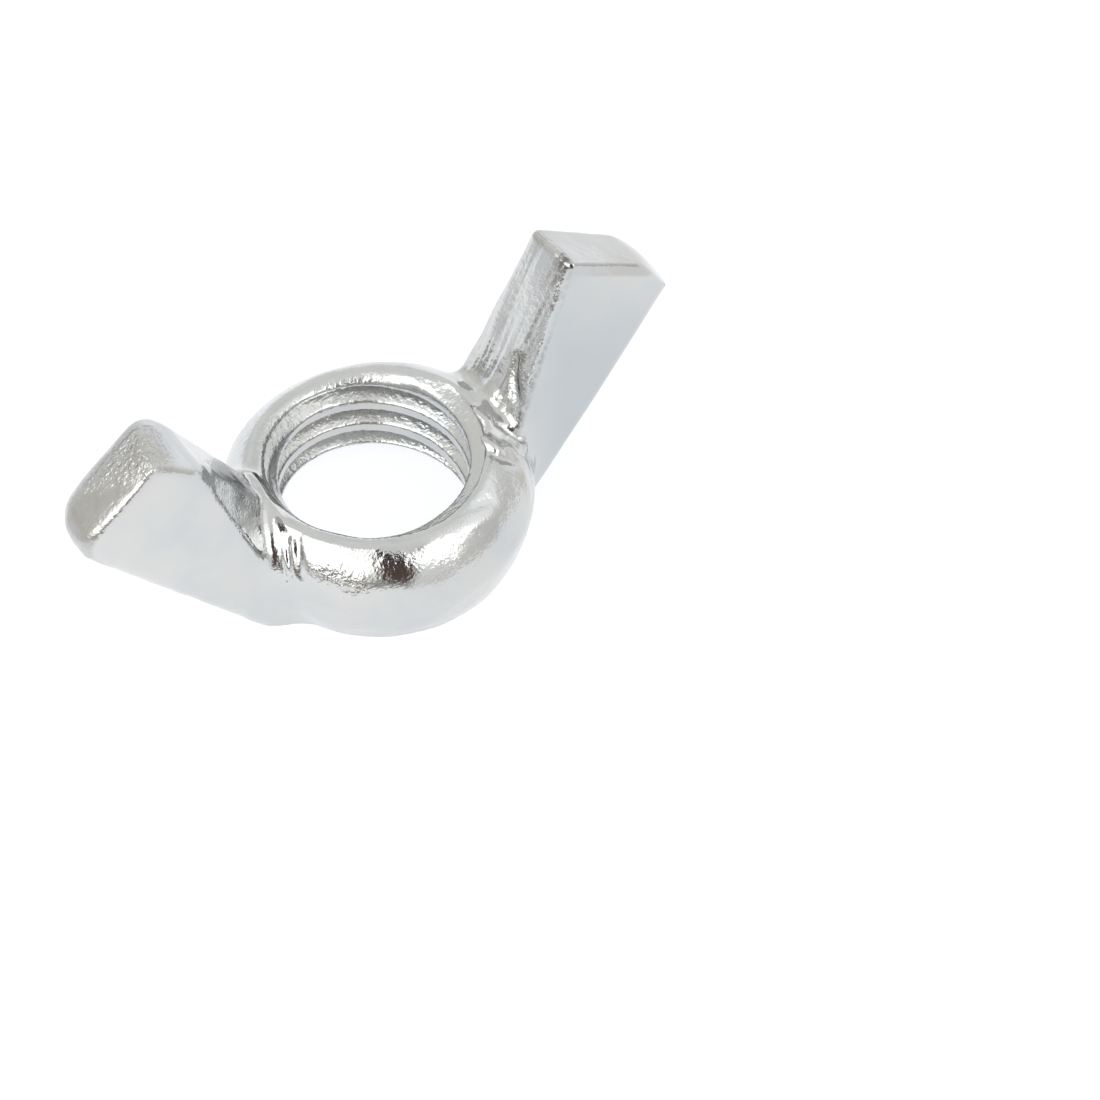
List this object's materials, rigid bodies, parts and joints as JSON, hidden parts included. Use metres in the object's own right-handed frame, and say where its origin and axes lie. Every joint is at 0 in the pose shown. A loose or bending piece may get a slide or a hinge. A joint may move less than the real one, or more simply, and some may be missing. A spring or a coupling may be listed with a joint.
{
  "type": "wing nut",
  "caption": "Cold-forged wing nut: round threaded hub ring with two upright angular wings, bright zinc plated.",
  "frame": {"origin": "centre of the threaded hole in the plane of the bearing face", "axes": "+Z along the thread axis from the bearing face towards the wings, +X along the line through both wings, +Y across the wings"},
  "size_m": [0.0358, 0.0168, 0.0144],
  "materials": {
    "bright_zinc_plate": "bright zinc plated steel, forged skin, slightly uneven gloss"
  },
  "bodies": {
    "root": {"wing_nut_body": "bright_zinc_plate"}
  },
  "joints": []
}
